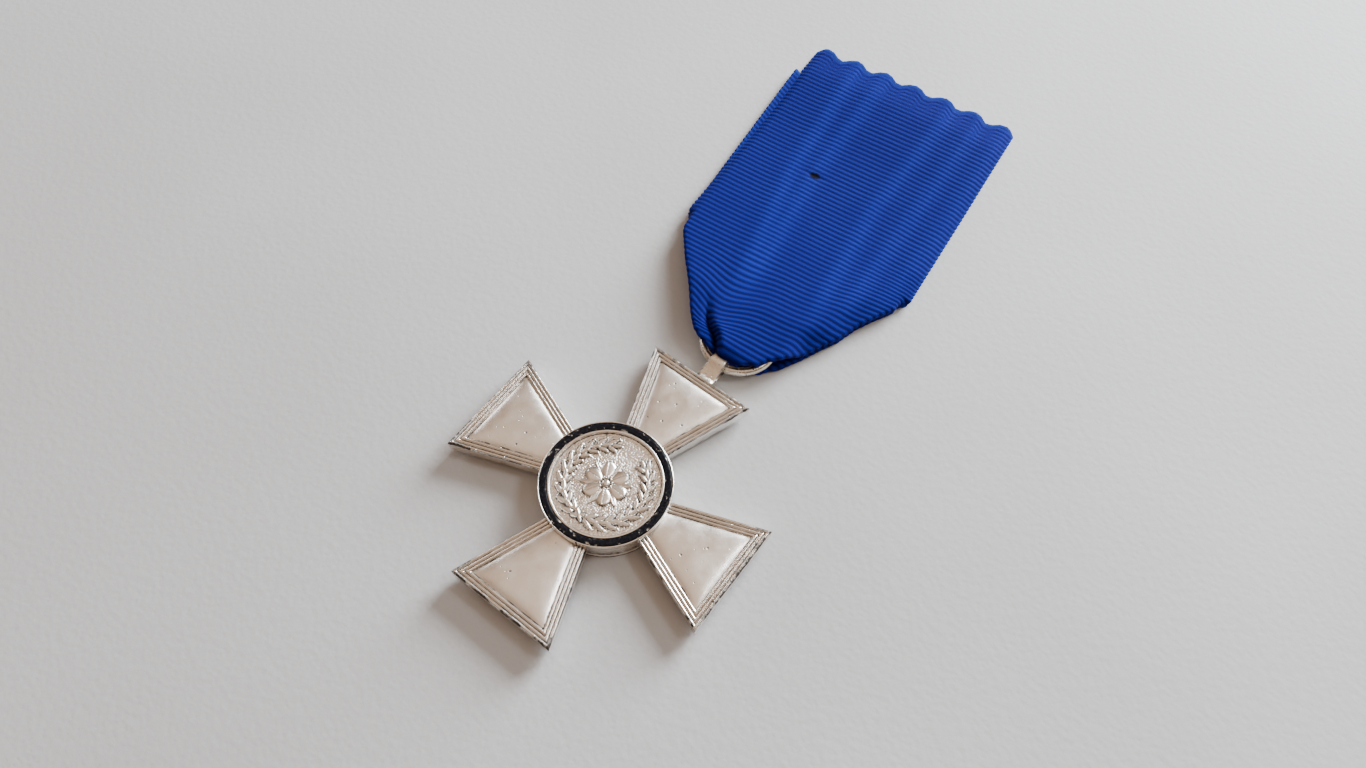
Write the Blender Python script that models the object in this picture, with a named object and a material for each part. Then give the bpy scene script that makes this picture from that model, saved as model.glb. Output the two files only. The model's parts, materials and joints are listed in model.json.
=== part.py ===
"""A four-armed service medal on a folded ribbon, laid face up, in metres with +Z up.

The origin is on the surface that the medal lies on, at the centre of its reverse disc.
+Y runs from the hub through the top arm to the ribbon, and +Z comes out of the front.
Run it with blender --background --python part.py, or from Blender's text editor.
"""

import math

import bmesh
import bpy
from mathutils import Matrix, Vector

MM = 0.001

# Driving dimensions, in millimetres.
GAP = 0.06  # clearance between pieces that touch
CROSS_SPAN = 39.0
TIP_WIDTH = 15.3
ARM_FLARE = 0.370  # growth of an arm's half-width for each millimetre away from the hub
HUB_RADIUS = 8.2
ARM_BACK_Z = 0.8
ARM_EDGE_Z = 2.65
BORDER_Z = 2.9
BORDER_WIDTH = 1.45
FIELD_Z = 3.05
HUB_FRONT_Z = 3.1
REVERSE_THICKNESS = 0.75

MEDALLION_RADIUS = 8.35
MEDALLION_FRONT_Z = 3.9
LACQUER_OUTER = 8.05
LACQUER_INNER = 7.3
RELIEF_RADIUS = 6.9
RIVET_RADIUS = 0.8

HANG_X = 0.4  # the eyelet sits a little right of the arm's middle
HANG_Z = 1.85
EYELET_CENTRE_Y = 22.7
EYELET_HOLE_RADIUS = 1.0
EYELET_STRAP = 0.35
EYELET_BASE_WIDTH = 2.3
EYELET_TOP_WIDTH = 1.6

RING_RADIUS = 4.8  # to the middle of the wire
WIRE_RADIUS = 0.68

RIBBON_LEAN = math.radians(5.5)  # anticlockwise from +Y, about the ring's centre
RIBBON_THICKNESS = 0.45
GATHER_THICKNESS = 0.6  # where the side flaps are tucked in near the ring
FOLD_V = -3.3  # lowest point of the fold, measured along the ribbon from the ring's centre
FOLD_HALF_WIDTH = 2.3
GATHER_SLOPE = 0.83  # growth of the gathered ribbon's half-width along the ribbon
BEND_V = 9.0  # where the tails bend above the ring
BEND_Z = 1.25
LEFT_EDGE = -16.8
RIGHT_EDGE = 16.1
LEFT_SHOULDER_V = 14.0
RIGHT_SHOULDER_V = 17.5
FRONT_TOP_V = 55.6
BACK_TOP_V = 48.8
BACK_SHIFT = -0.9  # how far the back tail's end lies left of the front one
SCALLOPS = 7
SCALLOP_DEPTH = 1.4

RING_CENTRE = Vector((HANG_X, EYELET_CENTRE_Y + RING_RADIUS, HANG_Z))


def clear_scene():
    """Removes every object of the open scene."""
    for thing in list(bpy.data.objects):
        bpy.data.objects.remove(thing)


def make_material(name, colour, roughness, metallic):
    """A Principled BSDF material of one colour."""
    material = bpy.data.materials.new(name)
    material.use_nodes = True
    shader = material.node_tree.nodes["Principled BSDF"]
    shader.inputs["Base Color"].default_value = (*colour, 1.0)
    shader.inputs["Roughness"].default_value = roughness
    shader.inputs["Metallic"].default_value = metallic
    return material


def add_object(name, bm, material=None, smooth_angle=30.0):
    """Turns a mesh in millimetres into an object in metres, with its faces pointing out."""
    bmesh.ops.remove_doubles(bm, verts=bm.verts, dist=1e-5)
    bmesh.ops.recalc_face_normals(bm, faces=bm.faces)
    bmesh.ops.scale(bm, vec=Vector((MM, MM, MM)), verts=bm.verts)
    mesh = bpy.data.meshes.new(name)
    bm.to_mesh(mesh)
    bm.free()
    if material:
        mesh.materials.append(material)
    mesh.shade_smooth()
    mesh.set_sharp_from_angle(angle=math.radians(smooth_angle))
    thing = bpy.data.objects.new(name, mesh)
    bpy.context.scene.collection.objects.link(thing)
    return thing


def add_guide(name, bm):
    """A solid that only cuts or joins another one."""
    guide = add_object(name, bm)
    guide.hide_render = True
    guide.display_type = "WIRE"
    return guide


def combine(thing, guide, operation):
    """Adds an exact Boolean of the guide to the object."""
    modifier = thing.modifiers.new(guide.name, "BOOLEAN")
    modifier.operation = operation
    modifier.solver = "EXACT"
    modifier.object = guide


def join_meshes(parts):
    """One mesh holding several separate bodies."""
    whole = bmesh.new()
    for part in parts:
        held = bpy.data.meshes.new("part")
        part.to_mesh(held)
        part.free()
        whole.from_mesh(held)
        bpy.data.meshes.remove(held)
    return whole


def turned(profile, segments=64):
    """A solid of revolution about +Z through the origin, from a list of (radius, z) points.

    A profile that starts and ends on the axis gives a disc, and a closed one gives a ring.
    """
    bm = bmesh.new()
    points = [bm.verts.new((radius, 0.0, z)) for radius, z in profile]
    edges = [bm.edges.new(pair) for pair in zip(points, points[1:])]
    if profile[0][0] > 0:
        edges.append(bm.edges.new((points[-1], points[0])))
    bmesh.ops.spin(
        bm,
        geom=points + edges,
        cent=(0, 0, 0),
        axis=(0, 0, 1),
        angle=math.tau,
        steps=segments,
        use_merge=True,
    )
    return bm


def stacked(loops):
    """A closed solid through loops of equally many points, capped at both ends."""
    bm = bmesh.new()
    rows = [[bm.verts.new(point) for point in loop] for loop in loops]
    for low, high in zip(rows, rows[1:]):
        for i in range(len(low)):
            j = (i + 1) % len(low)
            bm.faces.new((low[i], low[j], high[j], high[i]))
    bm.faces.new(rows[0][::-1])
    bm.faces.new(rows[-1])
    return bm


def side_profile(outline, left_side, right_side):
    """A solid whose outline is a list of (along, z) points, between two sides across.

    left_side and right_side give the place across for each place along.
    """
    left = [Vector((left_side(along), along, z)) for along, z in outline]
    right = [Vector((right_side(along), along, z)) for along, z in outline]
    return stacked([left, right])


def arc_points(centre, radius, start, end, steps):
    """Points of an arc in a plane, both ends included, with angles in degrees."""
    angles = [math.radians(start + (end - start) * i / steps) for i in range(steps + 1)]
    return [
        (centre[0] + radius * math.cos(a), centre[1] + radius * math.sin(a)) for a in angles
    ]


# ---------------------------------------------------------------- the cross


def arm_loop(inset, z, root_y=6.9):
    """The four corners of an arm's outline, moved in from its sides and its tip."""
    tip_y = CROSS_SPAN / 2 - inset
    half_at_tip = TIP_WIDTH / 2
    side_inset = inset * math.hypot(1.0, ARM_FLARE)

    def half(y):
        return half_at_tip - ARM_FLARE * (CROSS_SPAN / 2 - y) - side_inset

    return [
        (-half(root_y), root_y, z),
        (half(root_y), root_y, z),
        (half(tip_y), tip_y, z),
        (-half(tip_y), tip_y, z),
    ]


def arm_solid():
    """One arm along +Y: a flat back, a raised border, a groove and a cushioned field."""
    levels = [
        (0.2, ARM_BACK_Z),
        (0.0, ARM_BACK_Z + 0.2),
        (0.0, ARM_EDGE_Z),
        (0.2, BORDER_Z),
        (BORDER_WIDTH - 0.1, BORDER_Z),
        (BORDER_WIDTH, BORDER_Z - 0.3),
        (BORDER_WIDTH + 0.3, BORDER_Z - 0.1),
        (BORDER_WIDTH + 0.9, FIELD_Z - 0.05),
        (BORDER_WIDTH + 1.2, FIELD_Z),
    ]
    return stacked([arm_loop(inset, z) for inset, z in levels])


def make_cross(material):
    """The struck body: a round hub with four equal arms, and the rivet's hole through it."""
    hub = add_object(
        "cross_body",
        turned(
            [
                (0.0, HUB_FRONT_Z),
                (HUB_RADIUS - 0.15, HUB_FRONT_Z),
                (HUB_RADIUS, HUB_FRONT_Z - 0.15),
                (HUB_RADIUS, REVERSE_THICKNESS + GAP),
                (0.0, REVERSE_THICKNESS + GAP),
            ]
        ),
        material,
    )
    arms = []
    for quarter in range(4):
        arm = arm_solid()
        bmesh.ops.rotate(
            arm, verts=arm.verts, matrix=Matrix.Rotation(quarter * math.pi / 2, 3, "Z")
        )
        arms.append(arm)
    combine(hub, add_guide("arm_guide", join_meshes(arms)), "UNION")
    hole = turned(
        [
            (0.0, HUB_FRONT_Z + 1.0),
            (RIVET_RADIUS + GAP, HUB_FRONT_Z + 1.0),
            (RIVET_RADIUS + GAP, -1.0),
            (0.0, -1.0),
        ],
        24,
    )
    combine(hub, add_guide("rivet_hole_guide", hole), "DIFFERENCE")


def make_medallions(silver, dark):
    """The front disc with its lacquered channel, the reverse disc, and the rivet between."""
    back_z = HUB_FRONT_Z + GAP
    floor_z = MEDALLION_FRONT_Z - 0.45
    front = [
        (0.0, MEDALLION_FRONT_Z),
        (1.0, MEDALLION_FRONT_Z),
        (1.9, floor_z),
        (4.3, floor_z),
        (4.9, MEDALLION_FRONT_Z - 0.15),
        (5.9, MEDALLION_FRONT_Z - 0.15),
        (6.4, floor_z),
        (RELIEF_RADIUS - 0.05, floor_z),
        (RELIEF_RADIUS, MEDALLION_FRONT_Z),
        (LACQUER_INNER, MEDALLION_FRONT_Z),
        (LACQUER_INNER, floor_z),
        (LACQUER_OUTER, floor_z),
        (LACQUER_OUTER, MEDALLION_FRONT_Z),
        (MEDALLION_RADIUS - 0.1, MEDALLION_FRONT_Z),
        (MEDALLION_RADIUS, MEDALLION_FRONT_Z - 0.15),
        (MEDALLION_RADIUS, back_z),
        (0.0, back_z),
    ]
    add_object("front_medallion", turned(front), silver)

    lacquer_top = MEDALLION_FRONT_Z - 0.05
    lacquer = [
        (LACQUER_INNER + GAP, lacquer_top),
        (LACQUER_OUTER - GAP, lacquer_top),
        (LACQUER_OUTER - GAP, floor_z + GAP),
        (LACQUER_INNER + GAP, floor_z + GAP),
    ]
    add_object("lacquer_ring", turned(lacquer), dark)

    reverse = [
        (0.0, REVERSE_THICKNESS),
        (HUB_RADIUS, REVERSE_THICKNESS),
        (HUB_RADIUS, 0.2),
        (HUB_RADIUS - 0.2, 0.0),
        (0.0, 0.0),
    ]
    add_object("reverse_medallion", turned(reverse), silver)

    rivet = [
        (0.0, HUB_FRONT_Z),
        (RIVET_RADIUS, HUB_FRONT_Z),
        (RIVET_RADIUS, REVERSE_THICKNESS + GAP),
        (0.0, REVERSE_THICKNESS + GAP),
    ]
    add_object("medallion_rivet", turned(rivet, 24), silver)


# ---------------------------------------------------------------- eyelet and ring


def make_eyelet(material):
    """A strap folded into a drop-shaped loop, standing on the top arm's edge."""
    foot_y = CROSS_SPAN / 2 + GAP
    outer = EYELET_HOLE_RADIUS + EYELET_STRAP
    crown_y = EYELET_CENTRE_Y + outer
    foot_half = 0.75
    outline = [(foot_y, HANG_Z - foot_half)]
    outline += arc_points((EYELET_CENTRE_Y, HANG_Z), outer, -115, 115, 18)
    outline += [(foot_y, HANG_Z + foot_half)]

    def half_width(y):
        share = (y - foot_y) / (crown_y - foot_y)
        return (EYELET_BASE_WIDTH + (EYELET_TOP_WIDTH - EYELET_BASE_WIDTH) * share) / 2

    eyelet = add_object(
        "suspension_eyelet",
        side_profile(outline, lambda y: HANG_X - half_width(y), lambda y: HANG_X + half_width(y)),
        material,
    )
    hole = turned(
        [(0.0, 3.0), (EYELET_HOLE_RADIUS, 3.0), (EYELET_HOLE_RADIUS, -3.0), (0.0, -3.0)], 32
    )
    bmesh.ops.rotate(hole, verts=hole.verts, matrix=Matrix.Rotation(math.pi / 2, 3, "Y"))
    bmesh.ops.translate(hole, verts=hole.verts, vec=(HANG_X, EYELET_CENTRE_Y, HANG_Z))
    combine(eyelet, add_guide("eyelet_hole_guide", hole), "DIFFERENCE")


def make_ring(material):
    """The round wire ring, on a pivot at the eyelet's hole."""
    wire = arc_points((RING_RADIUS, 0.0), WIRE_RADIUS, 0, -360, 12)[:-1]
    ring = turned(wire, 56)
    bmesh.ops.translate(ring, verts=ring.verts, vec=(0.0, RING_RADIUS, 0.0))
    thing = add_object("suspension_ring", ring, material, 60.0)
    thing.parent = add_pivot("ring_pivot", Vector((HANG_X, EYELET_CENTRE_Y, HANG_Z)))


def add_pivot(name, place, parent=None):
    """An empty on a joint's axis, at a place in millimetres."""
    pivot = bpy.data.objects.new(name, None)
    pivot.empty_display_size = 0.005
    pivot.location = place * MM
    pivot.parent = parent
    bpy.context.scene.collection.objects.link(pivot)
    return pivot


# ---------------------------------------------------------------- the ribbon


def gather_side(sign, shift=0.0):
    """Half-width of the gathered ribbon, as a function of the place along it."""
    return lambda v: sign * (FOLD_HALF_WIDTH + GATHER_SLOPE * (v - FOLD_V)) + shift


def make_ribbon_loop(pivot, material):
    """The fold that goes through the ring: over its far side, through it and back under."""
    front_z = HANG_Z + WIRE_RADIUS + 0.1
    front_top = front_z + GATHER_THICKNESS
    back_top = RIBBON_THICKNESS + 0.35
    end_v = BEND_V - 1.4
    end_top = 2 * BEND_Z + 0.08
    outline = [
        (end_v, end_top),
        (5.4, front_top),
        (FOLD_V + 1.1, front_top),
        (FOLD_V + 0.35, front_top - 0.3),
        (FOLD_V, front_top - 1.0),
        (FOLD_V, 0.9),
        (FOLD_V + 0.3, 0.3),
        (FOLD_V + 0.9, 0.0),
        (end_v, 0.0),
        (end_v, RIBBON_THICKNESS),
        (5.4, back_top),
        (FOLD_V + 1.4, back_top),
        (FOLD_V + 0.8, 1.3),
        (FOLD_V + 0.8, front_z - 0.4),
        (FOLD_V + 1.3, front_z),
        (5.7, front_z),
        (end_v, end_top - RIBBON_THICKNESS),
    ]
    loop = add_object(
        "ribbon_loop", side_profile(outline, gather_side(-1), gather_side(1)), material
    )
    loop.parent = pivot


def slab(left, right, top_z, thickness):
    """A strip between two edges, each a list of (u, v), with its top at top_z(v)."""
    ring = left + right[::-1]
    lower = [(u, v, top_z(v) - thickness) for u, v in ring]
    upper = [(u, v, top_z(v)) for u, v in ring]
    bm = bmesh.new()
    low = [bm.verts.new(point) for point in lower]
    high = [bm.verts.new(point) for point in upper]
    count = len(left)
    for i in range(count - 1):
        j = 2 * count - 1 - i
        bm.faces.new((high[i], high[i + 1], high[j - 1], high[j]))
        bm.faces.new((low[j], low[j - 1], low[i + 1], low[i]))
    for i in range(2 * count):
        j = (i + 1) % (2 * count)
        bm.faces.new((low[i], low[j], high[j], high[i]))
    return bm


def scallop_cutter(top_v, left, right):
    """A comb that cuts the tail's end into scallops, from its points to its notches."""
    pitch = (right - left) / SCALLOPS
    edge = []
    for tooth in range(SCALLOPS):
        for step in range(8):
            share = step / 8
            u = left + (tooth + share) * pitch
            edge.append((u, top_v - SCALLOP_DEPTH * abs(math.cos(math.pi * share)) ** 1.5))
    edge.append((right, top_v - SCALLOP_DEPTH))
    edge = [(left - 2, edge[0][1]), *edge, (right + 2, edge[-1][1])]
    outline = edge + [(right + 2, top_v + 3), (left - 2, top_v + 3)]
    return stacked([[(u, v, z) for u, v in outline] for z in (-2.0, 6.0)])


def tail_edges(top_v, shift):
    """Left and right edges of a tail: out to the shoulders, then straight up."""
    start_v = BEND_V - 0.83
    stations = [start_v, LEFT_SHOULDER_V, RIGHT_SHOULDER_V, 26.0, 36.0, top_v]
    left_start = gather_side(-1)(start_v)
    right_start = gather_side(1)(start_v)
    left, right = [], []
    for v in stations:
        lean = shift * (v - start_v) / (top_v - start_v)
        rise = min(1.0, (v - start_v) / (LEFT_SHOULDER_V - start_v))
        left.append((left_start + (LEFT_EDGE - left_start) * rise + lean, v))
        rise = min(1.0, (v - start_v) / (RIGHT_SHOULDER_V - start_v))
        right.append((right_start + (RIGHT_EDGE - right_start) * rise + lean, v))
    return left, right


def front_top_z(v):
    """Height of the front tail's face: it comes down from the ring and then lies flat."""
    flat = 2 * RIBBON_THICKNESS + 0.15
    fall = max(0.0, 1.0 - (v - BEND_V) / 30.0)
    return flat + (2 * BEND_Z - flat) * fall**1.5 if v > BEND_V else 2 * BEND_Z


def make_tails(pivot, material):
    """The two tails, one on the other, each with a scalloped end."""
    back = slab(*tail_edges(BACK_TOP_V, BACK_SHIFT), lambda v: RIBBON_THICKNESS, RIBBON_THICKNESS)
    front = slab(*tail_edges(FRONT_TOP_V, 0.0), front_top_z, RIBBON_THICKNESS)
    for name, solid, top_v, shift in (
        ("ribbon_back_tail", back, BACK_TOP_V, BACK_SHIFT),
        ("ribbon_front_tail", front, FRONT_TOP_V, 0.0),
    ):
        tail = add_object(name, solid, material, 20.0)
        comb = scallop_cutter(top_v, LEFT_EDGE + shift, RIGHT_EDGE + shift)
        guide = add_guide(name + "_scallop_guide", comb)
        combine(tail, guide, "DIFFERENCE")
        tail.parent = pivot
        guide.parent = pivot


def place_ribbon(material):
    """Lays the ribbon along its leaning line, with the tails on a pivot above the ring."""
    line = add_pivot("ribbon_line", Vector((RING_CENTRE.x, RING_CENTRE.y, 0.0)))
    line.rotation_euler.z = RIBBON_LEAN
    make_ribbon_loop(line, material)
    bend = add_pivot("bend_pivot", Vector((0.0, BEND_V, BEND_Z)), line)
    make_tails(bend, material)
    for tail in bend.children:
        tail.location = -bend.location


def main():
    """Builds the whole medal."""
    clear_scene()
    silver = make_material("silvered_metal", (0.74, 0.69, 0.62), 0.32, 1.0)
    dark = make_material("black_lacquer", (0.012, 0.012, 0.016), 0.25, 0.0)
    cloth = make_material("ribbon_cloth", (0.012, 0.045, 0.36), 0.8, 0.0)
    make_cross(silver)
    make_medallions(silver, dark)
    make_eyelet(silver)
    make_ring(silver)
    place_ribbon(cloth)
    bpy.context.view_layer.update()


main()
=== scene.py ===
"""Looks for a silvered cross medal lying face up on a pale table, built around its CAD frame.

Lengths are in millimetres unless a name says otherwise; MM turns them into scene metres.
"""

import json
import math

import bmesh
import bpy
import numpy as np
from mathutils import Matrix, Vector


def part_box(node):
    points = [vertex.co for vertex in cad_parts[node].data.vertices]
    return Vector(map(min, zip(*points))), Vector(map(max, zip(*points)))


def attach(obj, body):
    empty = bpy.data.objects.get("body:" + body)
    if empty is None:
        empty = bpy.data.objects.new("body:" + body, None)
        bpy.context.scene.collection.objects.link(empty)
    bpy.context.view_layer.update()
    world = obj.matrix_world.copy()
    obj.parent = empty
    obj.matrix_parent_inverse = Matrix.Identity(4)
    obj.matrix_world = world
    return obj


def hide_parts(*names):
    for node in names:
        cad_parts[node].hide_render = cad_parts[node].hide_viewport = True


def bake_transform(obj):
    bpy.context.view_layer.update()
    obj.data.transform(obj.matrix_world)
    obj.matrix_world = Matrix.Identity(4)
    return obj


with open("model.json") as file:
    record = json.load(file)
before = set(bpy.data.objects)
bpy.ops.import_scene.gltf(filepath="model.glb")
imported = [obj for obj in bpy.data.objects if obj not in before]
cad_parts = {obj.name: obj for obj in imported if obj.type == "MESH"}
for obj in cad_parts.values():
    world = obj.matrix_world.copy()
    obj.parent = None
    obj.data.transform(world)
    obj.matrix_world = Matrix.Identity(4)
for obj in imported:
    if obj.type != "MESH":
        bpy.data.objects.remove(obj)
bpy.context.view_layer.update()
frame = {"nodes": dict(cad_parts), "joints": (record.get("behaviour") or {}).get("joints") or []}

MM = 0.001


def box_mm(node):
    """Lowest and highest corner of a CAD node, in millimetres."""
    low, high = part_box(node)
    return np.array(low) / MM, np.array(high) / MM


CROSS_LOW, CROSS_HIGH = box_mm("cross_body")
MEDALLION_LOW, MEDALLION_HIGH = box_mm("front_medallion")
LACQUER_LOW, LACQUER_HIGH = box_mm("lacquer_ring")
REVERSE_HIGH = box_mm("reverse_medallion")[1]
RING_LOW, RING_HIGH = box_mm("suspension_ring")
EYELET_LOW, EYELET_HIGH = box_mm("suspension_eyelet")
JOINTS = {joint["name"]: joint for joint in frame["joints"]}

# ---- mesh helpers


def smoothstep(value, low, high):
    """0 below low, 1 above high, and a smooth rise between them."""
    t = np.clip((value - low) / (high - low), 0.0, 1.0)
    return t * t * (3 - 2 * t)


def bell(offset, width):
    """1 where the offset is 0, falling smoothly to nothing over about twice the width."""
    return np.exp(-((offset / width) ** 2))


def fade(distance, length):
    """1 up to a distance of 0, then falling off over about the length."""
    return np.exp(-np.maximum(distance, 0) / length)


def dome(share):
    """Height of a half circle: 1 in the middle and 0 where the share reaches 1."""
    return np.sqrt(np.clip(1 - share**2, 0, 1))


def hash_noise(cells):
    """A repeatable number from 0 to 1 for each pair of whole-numbered cell coordinates."""
    x, y = cells[..., 0].astype(np.int64), cells[..., 1].astype(np.int64)
    mixed = (x * 374761393 + y * 668265263) & 0xFFFFFFFF
    mixed = ((mixed ^ (mixed >> 13)) * 1274126177) & 0xFFFFFFFF
    return ((mixed ^ (mixed >> 16)) & 0xFFFF) / 65535.0


def value_noise(x, y, scale):
    """Smooth noise from -1 to 1 over a plane, with features about scale long."""
    p = np.stack([x, y], -1) / scale
    cell = np.floor(p)
    t = p - cell
    t = t * t * (3 - 2 * t)
    total = 0.0
    for i in (0, 1):
        for j in (0, 1):
            weight = np.abs(1 - i - t[..., 0]) * np.abs(1 - j - t[..., 1])
            total = total + weight * hash_noise(cell + np.array([i, j]))
    return total * 2 - 1


def grid_faces(rows, columns, wrap_rows=False, wrap_columns=False, start=0):
    """Quads over a grid of vertices stored row by row, from the vertex numbered start."""
    i = np.arange(rows if wrap_rows else rows - 1)
    j = np.arange(columns if wrap_columns else columns - 1)
    i, j = [x.ravel() for x in np.meshgrid(i, j, indexing="ij")]
    i2, j2 = (i + 1) % rows, (j + 1) % columns
    corners = [i * columns + j, i2 * columns + j, i2 * columns + j2, i * columns + j2]
    return np.stack(corners, -1) + start


def tube_faces(rows, columns):
    """Faces of a tube whose rows go round it: quads between the rows, and a cap at each end."""
    first = np.arange(columns)
    return [grid_faces(rows, columns, wrap_columns=True), [first], [(rows - 1) * columns + first]]


def grid_rim(rows, columns):
    """The vertices round the outside of a grid, in order."""
    grid = np.arange(rows * columns).reshape(rows, columns)
    return np.concatenate([grid[0], grid[1:, -1], grid[-1, -2::-1], grid[-2:0:-1, 0]])


def full_turn(count):
    """Angles evenly spaced round a full turn."""
    return np.linspace(0, math.tau, count, endpoint=False)


def unit(vectors):
    """Vectors, along the last axis, brought to length 1."""
    return vectors / np.maximum(np.linalg.norm(vectors, axis=-1, keepdims=True), 1e-9)


def write_values(mesh, values):
    """Stores named numbers for each point of a mesh, for its material to read."""
    for key, numbers in values.items():
        attribute = mesh.attributes.new(key, "FLOAT", "POINT")
        attribute.data.foreach_set("value", np.asarray(numbers, np.float32))


def build_mesh(name, points, faces, values):
    """A closed mesh from points in millimetres, lists of faces, and numbers for each point."""
    mesh = bpy.data.meshes.new(name)
    flat = [face for group in faces for face in np.asarray(group).tolist()]
    mesh.from_pydata((np.asarray(points, float) * MM).tolist(), [], flat)
    write_values(mesh, values)
    bm = bmesh.new()
    bm.from_mesh(mesh)
    bmesh.ops.recalc_face_normals(bm, faces=bm.faces)
    bm.to_mesh(mesh)
    bm.free()
    mesh.shade_smooth()
    return mesh


def put_in_scene(name, data):
    """A new object for a mesh, a light or a camera."""
    item = bpy.data.objects.new(name, data)
    bpy.context.scene.collection.objects.link(item)
    return item


def add_piece(name, mesh, material, body, nodes):
    """Shows a mesh as a piece that rides on a body and stands for CAD nodes."""
    piece = put_in_scene(name, mesh)
    mesh.materials.clear()
    mesh.materials.append(material)
    if body:
        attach(piece, body)
    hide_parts(*nodes)
    return piece


def fused(name, whole, guides, crease_degrees):
    """The union of one mesh with others, smooth but for edges sharper than the crease angle."""
    base = put_in_scene(name, whole)
    extras = [put_in_scene(name + "_guide", guide) for guide in guides]
    for extra in extras:
        modifier = base.modifiers.new("join", "BOOLEAN")
        modifier.operation = "UNION"
        modifier.solver = "EXACT"
        modifier.object = extra
    graph = bpy.context.evaluated_depsgraph_get()
    made = bpy.data.meshes.new_from_object(
        base.evaluated_get(graph), preserve_all_data_layers=True, depsgraph=graph
    )
    for thing in (*extras, base):
        bpy.data.objects.remove(thing)
    made.shade_smooth()
    made.set_sharp_from_angle(angle=math.radians(crease_degrees))
    return made


def lathe_points(profile, segments):
    """Points of a profile of (radius, z) pairs turned about +Z, one row for each pair."""
    angle = full_turn(segments)
    r, z = np.array(profile, float).T[..., None]
    return np.stack([r * np.cos(angle), r * np.sin(angle), z + 0 * angle], -1)


def rounded_profile(corners, radius):
    """A polyline of (radius, z) corners with each inner corner rounded off."""
    corners = [np.array(c, float) for c in corners]
    out = [corners[0]]
    for before, corner, after in zip(corners, corners[1:], corners[2:]):
        to_before, to_after = before - corner, after - corner
        cut = min(radius, 0.45 * np.linalg.norm(to_before), 0.45 * np.linalg.norm(to_after))
        a, b = corner + unit(to_before) * cut, corner + unit(to_after) * cut
        for t in (0, 0.25, 0.5, 0.75, 1):
            out.append((1 - t) ** 2 * a + 2 * t * (1 - t) * corner + t**2 * b)
    out.append(corners[-1])
    return out


# ---- material helpers


class Nodes:
    """A material's node tree, with short calls for the nodes that it uses."""

    def __init__(self, name):
        self.material = bpy.data.materials.new(name)
        self.material.use_nodes = True
        self.tree = self.material.node_tree
        self.shader = self.tree.nodes["Principled BSDF"]
        self.coordinates = self.new("TexCoord").outputs["Object"]

    def new(self, kind):
        """A new node, by the part of its type's name that follows ShaderNode."""
        return self.tree.nodes.new("ShaderNode" + kind)

    def put(self, socket, value):
        """Links a value that comes from a node, or sets a plain one."""
        if isinstance(value, bpy.types.NodeSocket):
            self.tree.links.new(value, socket)
        elif isinstance(value, tuple) and len(value) == 3 and socket.type == "RGBA":
            socket.default_value = (*value, 1.0)
        else:
            socket.default_value = value

    def set(self, **inputs):
        """Sets inputs of the shader by name, with _ for a space."""
        for key, value in inputs.items():
            self.put(self.shader.inputs[key.replace("_", " ")], value)

    def maths(self, operation, a, b=0.0):
        """A number worked out from one or two others."""
        node = self.new("Math")
        node.operation = operation
        self.put(node.inputs[0], a)
        self.put(node.inputs[1], b)
        return node.outputs[0]

    def times(self, a, b):
        """Their product."""
        return self.maths("MULTIPLY", a, b)

    def plus(self, a, b):
        """Their sum."""
        return self.maths("ADD", a, b)

    def ramp(self, value, low, high, out_low=0.0, out_high=1.0):
        """Carries a range of values to another one, smoothly and clamped."""
        node = self.new("MapRange")
        node.interpolation_type = "SMOOTHSTEP"
        for socket, number in zip(node.inputs[:5], (value, low, high, out_low, out_high)):
            self.put(socket, number)
        return node.outputs[0]

    def mix(self, share, a, b):
        """A colour from a to b by share."""
        node = self.new("Mix")
        node.data_type = "RGBA"
        self.put(node.inputs["Factor"], share)
        self.put(node.inputs[6], a)
        self.put(node.inputs[7], b)
        return node.outputs[2]

    def attribute(self, name):
        """A number that the mesh stores for each of its points."""
        node = self.new("Attribute")
        node.attribute_name = name
        return node.outputs["Fac"]

    def noise(self, size, detail=3.0, roughness=0.55, stretch=(1, 1, 1), distortion=0.0, out=1.0):
        """Noise from 0 to out whose features are about size millimetres across."""
        node = self.new("TexNoise")
        self.put(node.inputs["Scale"], 1 / (size * MM))
        self.put(node.inputs["Detail"], detail)
        self.put(node.inputs["Roughness"], roughness)
        self.put(node.inputs["Distortion"], distortion)
        self.put(node.inputs["Vector"], self.stretched(stretch))
        fraction = node.outputs["Fac"]
        return fraction if out == 1.0 else self.times(fraction, out)

    def cells(self, size, feature="F1", output="Distance", flat=False):
        """Cells about size millimetres across, the same at every height if flat."""
        node = self.new("TexVoronoi")
        node.feature = feature
        node.voronoi_dimensions = "2D" if flat else "3D"
        self.put(node.inputs["Scale"], 1 / (size * MM))
        self.put(node.inputs["Vector"], self.coordinates)
        return node.outputs[output]

    def stretched(self, factors):
        """The coordinates that textures use, multiplied along each axis."""
        if factors == (1, 1, 1):
            return self.coordinates
        node = self.new("VectorMath")
        node.operation = "MULTIPLY"
        self.put(node.inputs[0], self.coordinates)
        node.inputs[1].default_value = factors
        return node.outputs[0]

    def red(self, colour):
        """The red part of a colour."""
        node = self.new("SeparateColor")
        self.put(node.inputs[0], colour)
        return node.outputs[0]

    def bump(self, height, distance, strength=1.0, normal=None):
        """A normal from a height map whose full range is distance millimetres."""
        node = self.new("Bump")
        self.put(node.inputs["Strength"], strength)
        self.put(node.inputs["Distance"], distance * MM)
        self.put(node.inputs["Height"], height)
        if normal:
            self.put(node.inputs["Normal"], normal)
        return node.outputs[0]


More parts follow.
